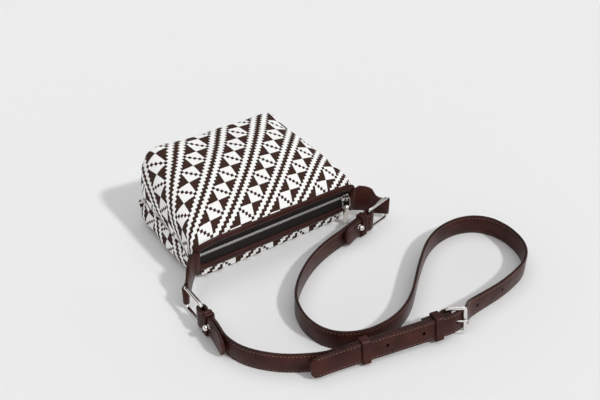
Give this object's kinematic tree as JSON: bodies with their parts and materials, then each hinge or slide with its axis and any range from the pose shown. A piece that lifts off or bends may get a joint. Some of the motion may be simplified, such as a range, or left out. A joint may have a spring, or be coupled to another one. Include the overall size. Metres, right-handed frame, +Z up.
{
  "type": "small zip-top crossbody bag",
  "caption": "Small woven-cloth crossbody bag with a zipped mouth, leather end tabs, metal rings and an adjustable buckled leather strap.",
  "frame": {"origin": "middle of the back panel, on the surface that the bag lies on", "axes": "+X along the zip from the left tab to the right tab, +Y from the mouth to the base, +Z up through the bag's thickness"},
  "size_m": [0.3618, 0.3544, 0.0967],
  "materials": {
    "woven_cloth": "matte ribbed weave in off-white and very dark brown",
    "brown_leather": "smooth satin dark brown with pale stitching",
    "zip_tape": "matte woven tape",
    "zip_teeth": "dull nickel",
    "polished_metal": "polished nickel"
  },
  "bodies": {
    "bag": {"front_panel": "woven_cloth", "back_panel": "woven_cloth", "front_binding": "brown_leather", "back_binding": "brown_leather", "left_end_tab": "brown_leather", "right_end_tab": "brown_leather", "long_strap": "brown_leather", "short_strap": "brown_leather", "fixed_keeper": "brown_leather", "left_end_keeper": "brown_leather", "right_end_keeper": "brown_leather", "zip_tape_front": "zip_tape", "zip_tape_back": "zip_tape", "zip_teeth_front": "zip_teeth", "zip_teeth_back": "zip_teeth", "zip_bottom_stop": "polished_metal", "zip_top_stop_front": "polished_metal", "zip_top_stop_back": "polished_metal", "left_stud": "polished_metal", "right_stud": "polished_metal", "left_stud_screw": "polished_metal", "right_stud_screw": "polished_metal"},
    "slider": {"slider_body": "polished_metal"},
    "bail": {"slider_bail": "polished_metal"},
    "pull": {"pull_tab": "polished_metal"},
    "ring_left": {"left_ring": "polished_metal"},
    "ring_right": {"right_ring": "polished_metal"},
    "buckle": {"buckle_frame": "polished_metal"},
    "prong": {"buckle_prong": "polished_metal"},
    "keeper": {"sliding_keeper": "brown_leather"}
  },
  "joints": [
    {"name": "slider_slide", "type": "slide", "parent": "bag", "child": "slider", "axis": [1, 0, 0], "range_m": [-0.176, 0]},
    {"name": "bail_swing", "type": "hinge", "parent": "slider", "child": "bail", "pos_m": [0.092, -0.07278, 0.03591], "axis": [1, 0, 0], "range_deg": [-36, 0]},
    {"name": "pull_swing", "type": "hinge", "parent": "bail", "child": "pull", "pos_m": [0.092, -0.07445, 0.02403], "axis": [1, 0, 0], "range_deg": [-60, 0]},
    {"name": "left_ring_turn", "type": "hinge", "parent": "bag", "child": "ring_left", "pos_m": [-0.12969, -0.09654, 0.0155], "axis": [0, 0, 1], "range_deg": [-0.8, 0.8]},
    {"name": "right_ring_turn", "type": "hinge", "parent": "bag", "child": "ring_right", "pos_m": [0.1383, -0.09094, 0.0155], "axis": [0, 0, 1], "range_deg": [-0.8, 0.8]},
    {"name": "buckle_turn", "type": "hinge", "parent": "bag", "child": "buckle", "pos_m": [0.06488, -0.27411, 0.01621], "axis": [0.01, 0.1581, 0.9874], "range_deg": [-4, 0.5]},
    {"name": "prong_lift", "type": "hinge", "parent": "buckle", "child": "prong", "pos_m": [0.06488, -0.27411, 0.01621], "axis": [0.01, 0.1581, 0.9874], "range_deg": [-4, 0]},
    {"name": "keeper_slide", "type": "slide", "parent": "bag", "child": "keeper", "axis": [0.9756, -0.2181, 0.025], "range_m": [-0.006, 0.06]}
  ]
}
